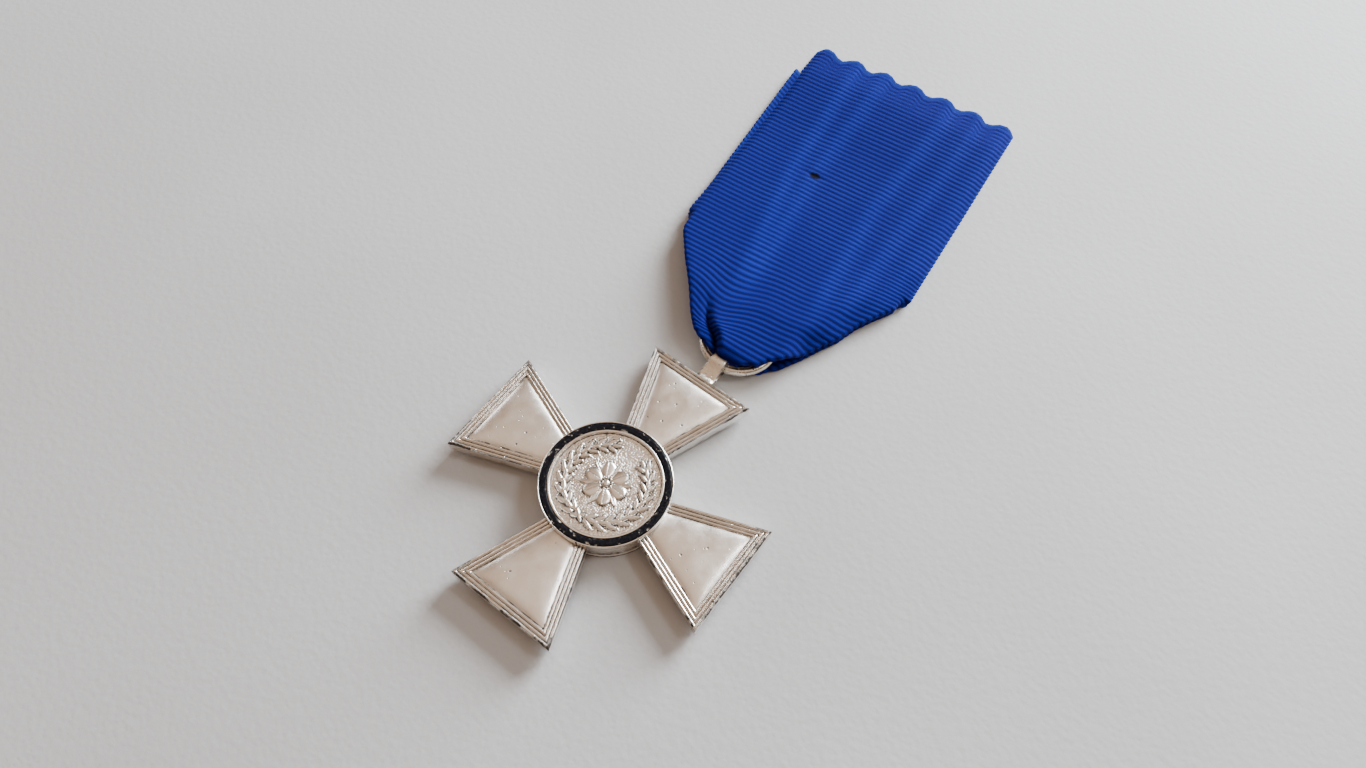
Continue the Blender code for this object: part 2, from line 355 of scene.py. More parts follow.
def pits(nodes, size, share, radius):
    """Sparse dark spots: one in some cells of a flat pattern, 1 inside a spot, 0 outside."""
    distance = nodes.cells(size, flat=True)
    tint = nodes.red(nodes.cells(size, output="Color", flat=True))
    chosen = nodes.ramp(tint, share, share + 0.02, 1.0, 0.0)
    ragged = nodes.plus(distance, nodes.noise(size * 0.12, 2.0, out=0.08))
    spot = nodes.ramp(ragged, radius * 0.6 + 0.04, radius + 0.04, 1.0, 0.0)
    return nodes.times(spot, chosen)


def silver(name, bright, shaded, roughness, pitting=0.12, grain=0.012):
    """Old silver plate: warm patina in clouds, dark tarnish where marked, painted shade where the
    marks stand for contact shadow, small pits.
    """
    n = Nodes(name)
    clouds = n.noise(5.0, 4.0, 0.6)
    speckle = n.noise(0.22, 3.0, 0.7)
    colour = n.mix(n.ramp(clouds, 0.36, 0.66), shaded, bright)
    colour = n.mix(n.ramp(speckle, 0.5, 0.8, 0.0, 0.16), colour, (0.46, 0.39, 0.31))

    marked = n.attribute("tarnish_and_shade")
    broken = n.ramp(n.noise(0.5, 4.0, 0.75), 0.34, 0.62, 0.45, 1.1)
    tarnish_and_shade = n.ramp(n.times(marked, broken), 0.12, 0.62)
    spots = n.maths("MAXIMUM", pits(n, 2.1, pitting, 0.085), pits(n, 0.8, pitting * 0.6, 0.1))
    spots = n.times(spots, n.maths("SUBTRACT", 1.0, n.attribute("wall")))
    dark = n.maths("MAXIMUM", tarnish_and_shade, n.times(spots, 0.92))
    colour = n.mix(dark, colour, (0.045, 0.034, 0.028))

    worn = n.ramp(n.noise(1.8, 3.0), 0.3, 0.75, roughness - 0.04, roughness + 0.06)
    worn = n.maths("SUBTRACT", worn, n.times(n.attribute("polish"), roughness * 0.45))
    n.set(
        Base_Color=colour,
        Roughness=n.plus(worn, n.times(dark, 0.28)),
        Metallic=n.ramp(dark, 0.0, 1.0, 1.0, 0.35),
    )
    grainy = n.noise(0.16, 3.0, 0.6)
    soft = n.noise(1.4, 2.0, 0.5)
    scratch = n.noise(0.12, 2.0, 0.6, stretch=(1.0, 0.08, 1.0), distortion=0.2)
    height = n.plus(grainy, n.times(scratch, 0.5))
    normal = n.bump(n.maths("SUBTRACT", height, n.times(spots, 2.0)), grain)
    n.set(Normal=n.bump(soft, 0.02, 1.0, normal))
    return n.material


def lacquer():
    """Black fired lacquer, glossy, with chips that show the silver under it."""
    n = Nodes("black_lacquer")
    flecks = n.ramp(n.noise(0.55, 4.0, 0.7), 0.635, 0.665)
    bites = n.ramp(n.noise(1.1, 4.0, 0.75, distortion=0.4), 0.6, 0.64)
    chips = n.maths("MAXIMUM", flecks, n.times(n.attribute("rim"), bites))
    dusty = n.noise(0.3, 4.0, 0.7)
    black = n.mix(n.ramp(dusty, 0.45, 0.8), (0.004, 0.004, 0.006), (0.022, 0.02, 0.024))
    n.set(
        Base_Color=n.mix(chips, black, (0.62, 0.57, 0.5)),
        Roughness=n.ramp(dusty, 0.3, 0.7, 0.22, 0.4),
        Metallic=chips,
        Specular_IOR_Level=0.08,
        Normal=n.bump(n.maths("SUBTRACT", n.noise(1.5, 2.0, out=0.5), chips), 0.012),
    )
    return n.material


def ribbed_cloth():
    """Blue grosgrain: the ribs are in the mesh, and the warp threads over them are here, with
    painted shade between the ribs and painted highlights on their crests.
    """
    n = Nodes("ribbon_cloth")
    across = n.attribute("across_mm")
    along = n.attribute("along_mm")
    rib = n.attribute("rib")
    order = n.maths("FLOOR", n.maths("DIVIDE", along, RIB_PITCH))
    odd = n.times(n.maths("MODULO", order, 2.0), 0.5)
    phase = n.plus(n.maths("DIVIDE", across, THREAD_PITCH), odd)
    thread = n.maths("ABSOLUTE", n.maths("SINE", n.times(phase, math.pi)))
    fibre = n.noise(0.08, 3.0, 0.7, stretch=(1.0, 0.35, 1.0))
    patch = n.noise(7.0, 3.0, 0.5)
    fleck = n.ramp(n.noise(0.13, 2.0, 0.8), 0.66, 0.8)

    rib_valley_shade, mid, light = (0.0008, 0.001, 0.04), (0.0022, 0.0024, 0.1), (0.0052, 0.0095, 0.205)
    top = n.mix(n.ramp(n.times(thread, fibre), 0.08, 0.6), mid, light)
    # Painted highlight: the rib crests are lightened.
    top = n.mix(n.ramp(rib, 0.75, 1.0, 0.0, 0.45), top, (0.0105, 0.0215, 0.285))
    # Painted shade: the valleys between the ribs go nearly black.
    colour = n.mix(n.ramp(rib, 0.05, 0.8), rib_valley_shade, top)
    colour = n.mix(n.ramp(patch, 0.3, 0.7, 0.0, 0.35), colour, mid)
    colour = n.mix(n.times(fleck, 0.2), colour, (0.025, 0.055, 0.3))
    # Painted highlight: the lit side of the soft lengthwise ridges is lightened, most on the rib
    # crests.
    bright = n.times(n.attribute("light_side"), n.ramp(rib, 0.3, 1.0, 0.1, 0.34))
    colour = n.mix(bright, colour, (0.013, 0.0295, 0.385))
    colour = n.mix(n.attribute("worn"), colour, (0.01, 0.035, 0.25))
    # Painted shade: the crease above the ring goes nearly black.
    colour = n.mix(n.attribute("stain"), colour, (0.0008, 0.0012, 0.006))
    hole_across = n.maths("DIVIDE", n.maths("SUBTRACT", across, SNAG[0] - CLOTH_CENTRE), 0.85)
    hole_along = n.maths("DIVIDE", n.maths("SUBTRACT", along, FRONT_TOP_V - SNAG[1]), 0.62)
    hole = n.plus(n.maths("POWER", hole_across, 2.0), n.maths("POWER", hole_along, 2.0))
    hole = n.plus(hole, n.noise(0.4, 3.0, 0.7, out=1.6))
    colour = n.mix(n.ramp(hole, 1.2, 2.2, 1.0, 0.0), colour, (0.0006, 0.0008, 0.003))
    n.set(
        Base_Color=colour,
        Roughness=0.85,
        Sheen_Weight=0.03,
        Sheen_Roughness=0.5,
        Sheen_Tint=(0.3, 0.45, 1.0),
        Specular_IOR_Level=0.06,
    )
    height = n.plus(n.times(thread, 0.7), n.times(fibre, 0.6))
    n.set(Normal=n.bump(height, 0.05))
    return n.material


# ---- the cross

TIP_Y = CROSS_HIGH[1]
ARM_FLARE = 0.37
SIDE_SLANT = math.hypot(1.0, ARM_FLARE)
TIP_HALF_WIDTH = 7.65
ARM_BACK_Z = CROSS_LOW[2]
HUB_TOP_Z = CROSS_HIGH[2]
HUB_RADIUS = REVERSE_HIGH[0]
RIDGES = 3
RIDGE_PITCH = 0.48
BORDER = RIDGES * RIDGE_PITCH
GROOVE_Z = 2.6
RIDGE_HEIGHT = 0.28
FIELD_RISE = 0.46
FIELD_SOFTNESS = 0.75
ROOT_Y = 7.0


def border_levels():
    """Distances in from an arm's edge that follow the ridges closely."""
    lobe = (1 - np.cos(np.linspace(0, math.pi, 9)[:-1])) / 2
    return np.concatenate([(lobe + k) * RIDGE_PITCH for k in range(RIDGES)] + [[BORDER]])


def arm_half_width(y):
    """Half the arm's width, at a distance from the medal's centre."""
    return TIP_HALF_WIDTH - ARM_FLARE * (TIP_Y - y)


def arm_edges(x, y):
    """Distances from points of an arm's face to its left side, right side and tip."""
    half = arm_half_width(y)
    return (half + x) / SIDE_SLANT, (half - x) / SIDE_SLANT, TIP_Y - y


def ridge_lobe(inward):
    """0 in the grooves of the border and 1 on its ridges, by distance from the edge."""
    return np.abs(np.sin(math.pi * np.clip(inward, 0, BORDER) / RIDGE_PITCH))


def arm_height(x, y):
    """Height of an arm's face: ridges along its edges, and a cushion inside them."""
    edges = arm_edges(x, y)
    inward = np.minimum.reduce(edges)
    ridge = GROOVE_Z + RIDGE_HEIGHT * ridge_lobe(inward) ** 0.62
    cushion = 1.0
    for distance in edges:
        cushion = cushion * (1 - fade(distance - BORDER, FIELD_SOFTNESS))
    uneven = value_noise(x, y, 2.6) * 0.012
    field = GROOVE_Z + 0.03 + (FIELD_RISE + uneven) * cushion
    return np.where(inward >= BORDER - 1e-6, field, ridge)


def arm_mesh(quarter):
    """One closed arm, pointing along +Y turned by a number of quarter turns."""
    levels = border_levels()
    across = np.linspace(0, 1, 41)[1:-1]
    rows_y = np.concatenate([np.linspace(ROOT_Y, TIP_Y - BORDER, 60)[:-1], TIP_Y - levels[::-1]])
    half = arm_half_width(rows_y)[:, None]
    inner = half - BORDER * SIDE_SLANT
    ridges = levels * SIDE_SLANT
    x = np.concatenate([-half + ridges, -inner + 2 * inner * across, half - ridges[::-1]], 1)
    y = np.repeat(rows_y[:, None], x.shape[1], 1)
    rows, columns = x.shape
    top = np.stack([x, y, arm_height(x, y)], -1).reshape(-1, 3)

    edge = grid_rim(rows, columns)
    rim = top[edge]
    outward = unit(rim[:, :2] - np.array([0.0, (ROOT_Y + TIP_Y) / 2]))
    ragged = 1 + 0.8 * value_noise(rim[:, 0] + 7 * quarter, rim[:, 1] + 7 * quarter, 0.5)
    levels = [(GROOVE_Z - 0.08, 0.035), (GROOVE_Z - 0.3, 0.03), (1.7, 0.0)]
    levels += [(ARM_BACK_Z + 0.18, 0.0), (ARM_BACK_Z + 0.04, -0.05), (ARM_BACK_Z, -0.16)]
    walls = []
    for z, grow in levels:
        shifted = rim.copy()
        shifted[:, :2] += outward * (grow * ragged)[:, None]
        shifted[:, 2] = z
        walls.append(shifted)

    count = len(edge)
    following = np.roll(np.arange(count), -1)
    faces = [grid_faces(rows, columns)]
    loops = [edge] + [rows * columns + k * count + np.arange(count) for k in range(len(walls))]
    for high, low in zip(loops, loops[1:]):
        faces.append(np.stack([high, low, low[following], high[following]], -1))
    points = np.concatenate([top, *walls])
    turn = quarter * math.pi / 2
    c, s = math.cos(turn), math.sin(turn)
    points[:, :2] = points[:, :2] @ np.array([[c, s], [-s, c]])
    return build_mesh("arm", points, [*faces, [loops[-1]]], {})


def to_arm(points):
    """Points of the body seen from their own arm: its x, its y and its number of turns."""
    x, y = points[:, 0], points[:, 1]
    quarter = np.round(np.arctan2(-x, y) / (math.pi / 2))
    turn = quarter * math.pi / 2
    return x * np.cos(turn) + y * np.sin(turn), y * np.cos(turn) - x * np.sin(turn), quarter


def on_border(points):
    """1 on the ridged borders of the arms and 0 elsewhere."""
    arm_x, arm_y, _ = to_arm(points)
    return np.minimum.reduce(arm_edges(arm_x, arm_y)) < BORDER


def cross_tarnish_and_shade(points):
    """Dark silver in the grooves, ragged along the outer edges, for points of the body, and
    painted shade that darkens the hub's wall towards its foot, where the contact shadow falls.
    """
    x, y, z = points.T
    arm_x, arm_y, quarter = to_arm(points)
    inward = np.minimum.reduce(arm_edges(arm_x, arm_y))
    on_top = z > GROOVE_Z - 0.02
    place = arm_x, arm_y + 40 * quarter
    blotch = value_noise(*place, 1.3) + 0.6 * value_noise(*place, 0.45)
    patchy = 0.55 + 0.45 * smoothstep(value_noise(*place, 4.0) + 0.3 * blotch, -0.35, 0.75)
    groove = smoothstep(1 - ridge_lobe(inward), 0.6, 0.97) * patchy
    foot = 0.5 * fade(inward - BORDER, 0.07) * patchy
    face = np.where(inward < BORDER, groove, foot)
    corner = smoothstep(np.hypot(arm_x, arm_y), 16.5, 20.5)
    outer = fade(inward, 0.16 + 0.25 * corner)
    outer = outer * smoothstep(blotch + 0.7 * corner, -0.1, 0.6)
    wall = 0.9 * fade(np.abs(z - GROOVE_Z), 0.25) * smoothstep(blotch, -0.2, 0.5)
    wall = wall + 0.6 * fade(z - ARM_BACK_Z, 0.15) * smoothstep(blotch, -0.3, 0.5)
    arm = np.where(on_top, np.maximum(face, outer), wall)
    past_hub = np.hypot(x, y) - HUB_RADIUS
    # Painted shade: the hub's wall grows dark towards the reverse disc, standing in for the
    # contact shadow under the hub.
    hub = 0.8 * fade(z - REVERSE_HIGH[2], 0.8) * smoothstep(blotch, -1.2, 0.2)
    seam = 0.8 * fade(np.abs(past_hub), 0.12)
    return np.clip(np.where(past_hub < 0.05, hub, np.maximum(arm, seam * on_top)), 0, 1)


def make_cross(material):
    """The struck body: four arms fused to a drum-shaped hub."""
    floor_z = REVERSE_HIGH[2] + 0.06
    corners = [(0.0, HUB_TOP_Z), (HUB_RADIUS, HUB_TOP_Z), (HUB_RADIUS, floor_z), (0.0, floor_z)]
    drum = lathe_points(rounded_profile(corners, 0.12)[1:-1], 180)
    hub = build_mesh("hub", drum.reshape(-1, 3), tube_faces(*drum.shape[:2]), {})
    body = fused("cross_body", hub, [arm_mesh(quarter) for quarter in range(4)], 42)
    points = np.array([vertex.co for vertex in body.vertices]) / MM
    wall = points[:, 2] < GROOVE_Z - 0.04
    values = {"tarnish_and_shade": cross_tarnish_and_shade(points), "wall": wall, "polish": on_border(points)}
    write_values(body, values)
    add_piece("struck_cross", body, material, "cross", ["cross_body"])


# ---- medallions

FIELD_RADIUS = 6.82
RIM_RADIUS = 7.18
MEDALLION_RADIUS = MEDALLION_HIGH[0]
MEDALLION_TOP = MEDALLION_HIGH[2]
LACQUER_RADIUS = LACQUER_HIGH[0] + 0.15
GROUND_Z = MEDALLION_TOP - 0.42
STEM_RADIUS = 5.15
SPRIGS = 10  # on each side of the wreath
# A sprig's leaves: distance outside the stem, swing away from it, angle ahead and height.
SPRIG_LEAVES = ((0.58, -0.52, 0.0, 0.3), (-0.55, 0.52, 0.0, 0.3), (0.0, 0.0, 0.1, 0.34))
DOT_PITCH = 0.26


def petal(x, y, centre, angle, length, width, height, rib):
    """Height of one leaf or petal with a sunk rib over its ground, 0 outside its outline."""
    dx, dy = x - centre[0], y - centre[1]
    along = dx * math.cos(angle) + dy * math.sin(angle)
    across = -dx * math.sin(angle) + dy * math.cos(angle)
    t = 2 * along / length
    half = width / 2 * dome(t) * (1.08 - 0.28 * t)
    body = dome(np.abs(across) / np.maximum(half, 1e-6)) * (np.abs(t) < 1)
    groove = rib * bell(across, 0.055) * (np.abs(t) < 0.86)
    return height * body * (0.75 + 0.25 * dome(t)) - groove * (body > 0)


def bead(x, y, centre, radius, height):
    """Height of one round bead over its ground."""
    return height * dome(np.hypot(x - centre[0], y - centre[1]) / radius)


def polar(radius, angle):
    """The point at a radius and an angle."""
    return radius * math.cos(angle), radius * math.sin(angle)


def laurel(x, y):
    """Two laurel sprays that rise from a tie at the bottom and stop short of the top."""
    height = np.zeros_like(x)
    r = np.hypot(x, y)
    for side in (-1, 1):
        bearing = np.arctan2(x * side, -y)
        on_stem = (bearing > 0.05) & (bearing < 2.72)
        height = np.maximum(height, 0.15 * dome((r - STEM_RADIUS) / 0.14) * on_stem)
        for k in range(SPRIGS):
            centre_angle = -math.pi / 2 + side * (0.26 + 0.262 * k)
            heading = centre_angle + side * math.pi / 2
            size = 1.0 - 0.018 * k
            for offset, swing, ahead, lift in SPRIG_LEAVES:
                foot = np.array(polar(STEM_RADIUS + offset, centre_angle + side * ahead))
                centre = foot + polar(0.15, heading)
                angle = heading + side * swing
                leaf = petal(x, y, centre, angle, 1.62 * size, 0.62 * size, lift, 0.07)
                height = np.maximum(height, leaf)
            for reach in (0.95, -0.92):
                berry = polar(STEM_RADIUS + reach, centre_angle + side * 0.13)
                height = np.maximum(height, bead(x, y, berry, 0.17, 0.26))
    for tilt in (-0.62, 0.62):
        band = petal(x, y, (0.0, -STEM_RADIUS), tilt, 2.1, 0.62, 0.4, 0.05)
        height = np.maximum(height, band)
    knot = np.clip(1 - (x / 0.42) ** 2 - ((y + STEM_RADIUS) / 0.34) ** 2, 0, 1)
    return np.maximum(height, 0.44 * np.sqrt(knot))


def rosette(x, y):
    """A flower of six broad petals over six narrow leaves, with a beaded centre."""
    height = np.zeros_like(x)
    for k in range(6):
        angle = (k + 0.5) * math.tau / 6
        leaf = petal(x, y, polar(2.1, angle), angle, 2.3, 0.85, 0.24, 0.08)
        height = np.maximum(height, leaf)
        angle = k * math.tau / 6
        broad = petal(x, y, polar(1.75, angle), angle + math.pi, 2.3, 1.75, 0.38, 0.07)
        height = np.maximum(height, broad)
    for k in range(10):
        height = np.maximum(height, bead(x, y, polar(0.78, k * math.tau / 10), 0.19, 0.42))
    return np.maximum(height, bead(x, y, (0.0, 0.0), 0.58, 0.46))


def stipple(x, y):
    """Round dots, one in each cell of a jittered grid."""
    p = np.stack([x, y], -1) / DOT_PITCH
    cell = np.floor(p)
    nearest = np.full(x.shape, 9.0)
    for i in (-1, 0, 1):
        for j in (-1, 0, 1):
            other = cell + np.array([i, j])
            jitter = [hash_noise(other), hash_noise(other + np.array([17.0, 5.0]))]
            place = other + 0.2 + 0.6 * np.stack(jitter, -1)
            nearest = np.minimum(nearest, np.sum((p - place) ** 2, -1))
    return np.sqrt(np.clip(1 - nearest / 0.24, 0, 1))


def blurred(height, rounds):
    """A height field, softened over neighbouring points of its rings and spokes."""
    for _ in range(rounds):
        height = (np.roll(height, 1, 1) + 2 * height + np.roll(height, -1, 1)) / 4
        padded = np.concatenate([height[:1], height, height[-1:]])
        height = (padded[:-2] + 2 * padded[1:-1] + padded[2:]) / 4
    return height


def relief(r, angle):
    """Height over the ground and tarnish of the medallion's struck field."""
    x, y = r * np.cos(angle), r * np.sin(angle)
    raised = np.maximum(laurel(x, y), rosette(x, y))
    height = np.maximum(raised, stipple(x, y) * 0.06)
    height = height * smoothstep(FIELD_RADIUS - r, 0.02, 0.1)
    hollow = np.maximum(blurred(height, 4), blurred(height, 14)) - height
    rim = 0.7 * smoothstep(r, FIELD_RADIUS - 0.16, FIELD_RADIUS - 0.03)
    return height, np.clip(smoothstep(hollow, 0.015, 0.085) + rim, 0, 1)


def make_front_medallion(material):
    """The struck disc: relief field, thin rim, channel for the lacquer and outer edge."""
    segments = 540
    angle = full_turn(segments)
    radii = np.concatenate([[0.04], np.linspace(0.1, FIELD_RADIUS, 112)])
    r = np.repeat(radii[:, None], segments, 1)
    a = np.repeat(angle[None, :], len(radii), 0)
    height, tarnish_and_shade = relief(r, a)
    field = np.stack([r * np.cos(a), r * np.sin(a), GROUND_Z + height], -1)
    top, bottom, outer = MEDALLION_TOP, MEDALLION_LOW[2], MEDALLION_RADIUS
    corners = [(FIELD_RADIUS, GROUND_Z), (FIELD_RADIUS + 0.05, top), (RIM_RADIUS, top)]
    corners += [(RIM_RADIUS + 0.02, GROUND_Z), (LACQUER_RADIUS + 0.02, GROUND_Z)]
    corners += [(LACQUER_RADIUS + 0.05, top - 0.02), (outer, top - 0.06)]
    corners += [(outer, bottom), (outer - 0.4, bottom)]
    outline = rounded_profile(corners, 0.11)[1:]
    rest = lathe_points(outline, segments)
    rest_tarnish = [0.35 * (z < bottom + 0.12) for _, z in outline]
    points = np.concatenate([field.reshape(-1, 3), rest.reshape(-1, 3)])
    tarnish_and_shade = np.concatenate([tarnish_and_shade.ravel(), np.repeat(rest_tarnish, segments)])
    faces = tube_faces(len(radii) + len(outline), segments)
    mesh = build_mesh("struck_medallion", points, faces, {"tarnish_and_shade": tarnish_and_shade})
    add_piece("struck_medallion", mesh, material, "cross", ["front_medallion"])


def make_lacquer(material):
    """The band of lacquer that fills the channel, slightly sunk between its edges."""
    inner, outer = RIM_RADIUS + 0.04, LACQUER_RADIUS
    top = LACQUER_HIGH[2] + 0.02
    middle, half = (inner + outer) / 2, (outer - inner) / 2
    segments = 300
    shares = np.linspace(-1, 1, 15)
    rows = [(middle + half * t, top - 0.1 * abs(t) ** 5 + 0.015 * (1 - t * t)) for t in shares]
    rows += [(outer, LACQUER_LOW[2] - 0.02), (inner, LACQUER_LOW[2] - 0.02)]
    points = lathe_points(rows, segments)
    bearing = full_turn(segments)
    wobble = value_noise(np.cos(bearing) * 8, np.sin(bearing) * 8, 1.3) * 0.015
    points[: len(shares), :, 2] += wobble
    rim = np.repeat(smoothstep(np.abs(shares), 0.25, 0.95), segments)
    rim = np.concatenate([rim, np.ones(2 * segments)])
    faces = [grid_faces(len(rows), segments, wrap_rows=True, wrap_columns=True)]
    mesh = build_mesh("lacquer_band", points.reshape(-1, 3), faces, {"rim": rim})
    add_piece("lacquer_band", mesh, material, "cross", ["lacquer_ring"])


def make_reverse(material):
    """The plain reverse disc: a low rim, a shallow ring groove and a flat middle, with painted
    shade at the foot of its edge.
    """
    top, radius = REVERSE_HIGH[2], REVERSE_HIGH[0]
    corners = [(0.3, 0.16), (5.6, 0.16), (5.75, 0.24), (6.05, 0.24), (6.2, 0.0)]
    corners += [(radius, 0.0), (radius, top), (radius - 0.6, top)]
    outline = rounded_profile(corners, 0.14)
    segments = 240
    points = lathe_points(outline, segments)
    in_groove = [0.7 * (5.6 < r < 6.2) for r, _ in outline]
    # Painted shade: the foot of the edge, where the disc meets the table, is painted dark for the
    # contact shadow.
    painted_foot_shade = [0.9 * (z < 0.45 and r > radius - 0.15) for r, z in outline]
    values = {"tarnish_and_shade": np.repeat(np.maximum(in_groove, painted_foot_shade), segments)}
    faces = tube_faces(len(outline), segments)
    mesh = build_mesh("reverse_disc", points.reshape(-1, 3), faces, values)
    add_piece("reverse_disc", mesh, material, "cross", ["reverse_medallion"])


# ---- eyelet and ring

RING_CENTRE = (RING_LOW + RING_HIGH) / 2
WIRE_RADIUS = (RING_HIGH[2] - RING_LOW[2]) / 2
RING_RADIUS = (RING_HIGH[0] - RING_LOW[0]) / 2 - WIRE_RADIUS
HANG = np.array(JOINTS["ring_swing"]["pos_m"]) / MM
STRAP = 0.42  # thickness
EYELET_FOOT_Y = TIP_Y - 0.02


def rounded_square(angle):
    """A point of a square of half-width 1 with soft corners, by its angle."""
    c, s = math.cos(angle), math.sin(angle)
    return math.copysign(abs(c) ** 0.6, c), math.copysign(abs(s) ** 0.6, s)


def solder_mesh(width):
    """A lump of solder round the strap's foot, thinner away from the cross."""
    rows, columns = 12, 28
    points = []
    for t in np.linspace(0.02, 0.98, rows):
        swell = 1 - t**1.6
        half_width = width / 2 - 0.12 + 0.3 * swell
        half_height = 0.3 + 0.52 * swell
        y = EYELET_FOOT_Y - 0.12 + 0.95 * t
        for angle in full_turn(columns):
            across, up = rounded_square(angle)
            points.append((HANG[0] + half_width * across, y, HANG[2] + half_height * up))
    values = {"tarnish_and_shade": np.full(len(points), 0.3)}
    return build_mesh("solder", points, tube_faces(rows, columns), values)


def strap_path():
    """The strap's middle line as (y, height): up its front, round the ring and back down."""
    loop_radius = EYELET_HIGH[1] - HANG[1] - STRAP / 2
    neck_y = HANG[1] - 1.9
    neck_half, foot_half = 0.24, 0.34
    sweep = np.radians(np.linspace(-126, 126, 40))
    arc = [(HANG[1] + loop_radius * math.cos(a), loop_radius * math.sin(a)) for a in sweep]
    middle_y = (EYELET_FOOT_Y + neck_y) / 2
    leg = [(EYELET_FOOT_Y, -foot_half), (middle_y, -neck_half - 0.02), (neck_y, -neck_half)]
    path = np.array(leg + arc + [(y, -z) for y, z in leg[::-1]])
    for _ in range(2):
        path[1:-1] = (path[:-2] + 2 * path[1:-1] + path[2:]) / 4
    return path


def make_eyelet(material):
    """A flat strap folded round the ring, its two ends pressed together on a solder foot."""
    path = strap_path()
    step = np.gradient(path, axis=0)
    normal = unit(np.stack([step[:, 1], -step[:, 0]], -1))
    share = (path[:, 0] - EYELET_FOOT_Y) / (EYELET_HIGH[1] - EYELET_FOOT_Y)
    low_width = 1.15 * (EYELET_HIGH[0] - EYELET_LOW[0])
    high_width = 0.76 * low_width
    half_width = (low_width + (high_width - low_width) * share) / 2
    half_width = half_width + 0.03 * np.sin(path[:, 0] * 5 + path[:, 1] * 3)
    corner = [(1, 0.55), (0.93, 0.95), (0.8, 1.0)]
    section = [*corner, (0, 1.06), *[(-x, t) for x, t in corner[::-1]]]
    section = section + [(x, -t) for x, t in section[::-1]]
    points, tarnish_and_shade = [], []
    for (y, z), n, half in zip(path, normal, half_width):
        for x, t in section:
            offset = n * t * STRAP / 2
            points.append((HANG[0] + x * half, y + offset[0], HANG[2] + z + offset[1]))
            tarnish_and_shade.append(0.45 * (abs(x) > 0.9) + 0.5 * (y < EYELET_FOOT_Y + 0.35))
    faces = tube_faces(len(path), len(section))
    strap = build_mesh("strap", points, faces, {"tarnish_and_shade": tarnish_and_shade})
    whole = fused("eyelet", strap, [solder_mesh(low_width)], 50)
    add_piece("strap_eyelet", whole, material, "cross", ["suspension_eyelet"])


def make_ring(material):
    """The wire ring, with a groove worn along its top and bottom between two ridges."""
    around, segments = 40, 200
    section = full_turn(around)
    bearing = full_turn(segments)
    groove = 0.0
    for middle in (math.pi / 2, -math.pi / 2):
        away = (section - middle + math.pi) % math.tau - math.pi
        groove = groove + bell(away, 0.34)
    dent = value_noise(np.cos(bearing) * 12, np.sin(bearing) * 12, 1.0)
    radius = WIRE_RADIUS * (1 - 0.2 * groove[None, :]) * (1 + 0.015 * dent[:, None])
    across = RING_RADIUS + radius * np.cos(section)
    x, y = across * np.cos(bearing)[:, None], across * np.sin(bearing)[:, None]
    points = np.stack([x, y, radius * np.sin(section)], -1) + RING_CENTRE
    tarnish_and_shade = np.repeat(groove[None, :] * 0.85, segments, 0)
    faces = [grid_faces(segments, around, wrap_rows=True, wrap_columns=True)]
    mesh = build_mesh("wire_ring", points.reshape(-1, 3), faces, {"tarnish_and_shade": tarnish_and_shade.ravel()})
    add_piece("wire_ring", mesh, material, "ring", ["suspension_ring"])


# ---- the ribbon

RIBBON_WIDTH = 34.0
RIB_PITCH = 0.83
RIB_SAMPLES = 5  # rows of points in each rib
THREAD_PITCH = 0.155
RIB_HEIGHT = 0.065
CLOTH_HALF = 0.16  # half the cloth's thickness between two ribs
LINE = np.array(JOINTS["ribbon_pull"]["axis"])[:2]
SIDE = np.array([LINE[1], -LINE[0]])
CLOTH_CENTRE = -0.35  # middle of the cloth, across from the ribbon's line
FRONT_TOP_V = 55.6
BACK_TOP_V = 48.8
BACK_SHIFT = -0.9
FRONT_FOLD_Z = 3.36
BACK_Z = 0.27
# Place along the line and height of the strip as it turns through the ring.
FOLD = [(-1.5, FRONT_FOLD_Z), (-3.0, FRONT_FOLD_Z), (-4.15, 3.2), (-4.0, 2.5)]
FOLD += [(-3.25, 2.2), (-3.25, 1.2), (-3.1, BACK_Z), (-1.5, BACK_Z)]
ROLL_RADIUS = 0.25
SCALLOP_PITCH = 5.06
SCALLOP_DEPTH = 1.5
NECK_HALF_WIDTH = 2.0
SNAG = (-5.1, 30.6)
CUT_MARGIN = 7.0  # length over which the scalloped cut pulls the rows with it
BACK_CUT_SHIFT = 1.7  # the back end's scallops sit this far across from the front end's
# The front layer's lengthwise ridges: where each lies across the ribbon at three places
# along it, and how high it is.
RIDGE_PLACES = (8.0, 30.0, 50.0)
SOFT_RIDGES = (
    ((-5.0, -9.0, -10.2), 0.17),
    ((-3.4, -5.8, -5.6), 0.15),
    ((6.2, 4.6, 6.0), 0.15),
    ((9.4, 10.0, 10.8), 0.13),
    ((12.8, 14.4, 14.6), 0.1),
)


def front_centre_z(v):
    """Height of the front layer's middle: high over the ring, then down to the back layer."""
    low = 0.86
    fall = np.clip(1 - (v - 5.0) / 34.0, 0, 1) ** 1.5
    past_back = 0.32 * smoothstep(v, BACK_TOP_V, FRONT_TOP_V)
    return low + (FRONT_FOLD_Z - low) * fall - past_back


def rounded_line(points):
    """A polyline with its corners cut again and again, so that it turns smoothly."""
    points = np.array(points, float)
    for _ in range(4):
        near, far = points[:-1] * 0.75 + points[1:] * 0.25, points[:-1] * 0.25 + points[1:] * 0.75
        between = np.stack([near, far], 1).reshape(-1, 2)
        points = np.concatenate([points[:1], between, points[-1:]])
    return points


